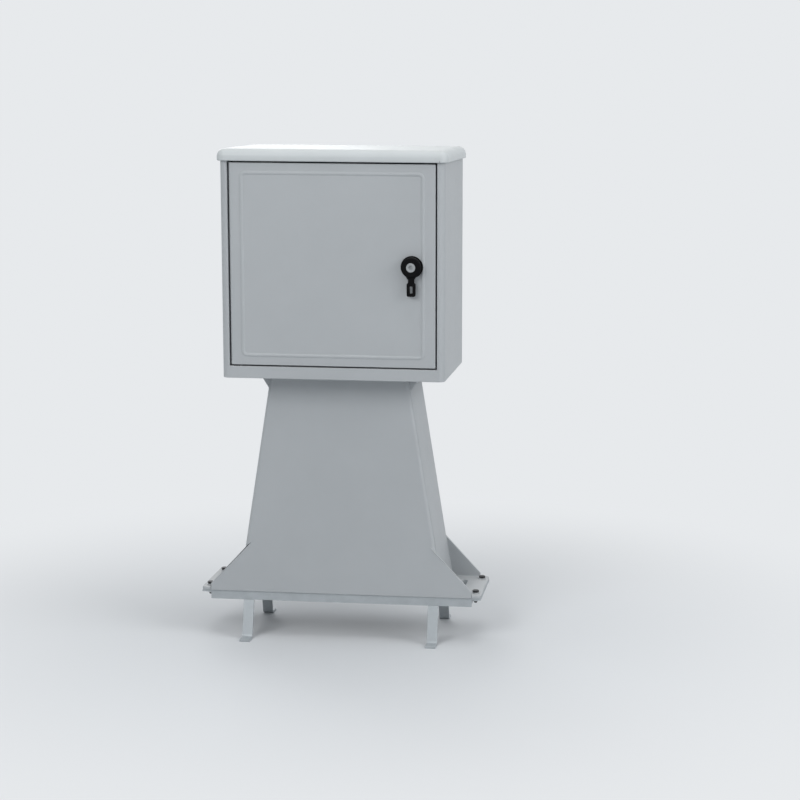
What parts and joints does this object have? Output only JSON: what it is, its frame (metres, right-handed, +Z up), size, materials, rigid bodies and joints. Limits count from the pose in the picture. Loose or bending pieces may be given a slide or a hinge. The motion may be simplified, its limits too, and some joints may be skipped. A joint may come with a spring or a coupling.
{
  "type": "roadside utility cabinet",
  "caption": "Grey moulded roadside utility cabinet with a hinged, locking door and a cap roof, on a tapering hollow pedestal bolted to a cast-in steel anchor frame.",
  "frame": {"origin": "ground level, at the middle of the anchor frame's underside", "axes": "+Z up, the door faces -Y, +X to the right of somebody who faces the door"},
  "size_m": [0.65, 0.3563, 1.125],
  "materials": {
    "moulding": "fine-grained glass-fibre moulding",
    "roof_moulding": "smooth glass-fibre moulding",
    "lock_black": "satin black",
    "plug_metal": "turned metal",
    "zinc_steel": "zinc plated",
    "dark_steel": "blackened",
    "galvanised_steel": "hot-dip galvanised",
    "rubber": "matt",
    "nylon": "matt"
  },
  "bodies": {
    "cabinet": {"cabinet_body": "moulding", "roof_cap": "roof_moulding", "roof_screws": "zinc_steel", "door_gasket": "rubber", "hinge_pins": "zinc_steel", "hinge_washers": "nylon", "mounting_plate": "zinc_steel", "plate_screws": "zinc_steel", "gland_plate": "zinc_steel", "gland_screws": "zinc_steel", "cable_grommets": "rubber", "pedestal": "moulding", "cabinet_bolts": "zinc_steel", "cabinet_washers": "zinc_steel", "cabinet_nuts": "zinc_steel", "base_bolts": "dark_steel", "base_washers": "zinc_steel", "base_nuts": "zinc_steel", "anchor_frame": "galvanised_steel", "anchor_legs": "galvanised_steel"},
    "door": {"door": "moulding", "lock_rosette": "lock_black", "lock_nut": "zinc_steel"},
    "handle": {"lock_handle": "lock_black", "lock_spindle": "zinc_steel", "latch_cam": "zinc_steel", "cam_screw": "zinc_steel"},
    "key": {"key_plug": "plug_metal"}
  },
  "joints": [
    {"name": "door_hinge", "type": "hinge", "parent": "cabinet", "child": "door", "pos_m": [-0.2175, -0.153, 0.784], "axis": [0, 0, -1], "range_deg": [0, 95]},
    {"name": "handle_turn", "type": "hinge", "parent": "door", "child": "handle", "pos_m": [0.1775, -0.176, 0.784], "axis": [0, 1, 0], "range_deg": [0, 90]},
    {"name": "key_turn", "type": "hinge", "parent": "handle", "child": "key", "pos_m": [0.1775, -0.18, 0.784], "axis": [0, 1, 0], "range_deg": [0, 90]}
  ]
}
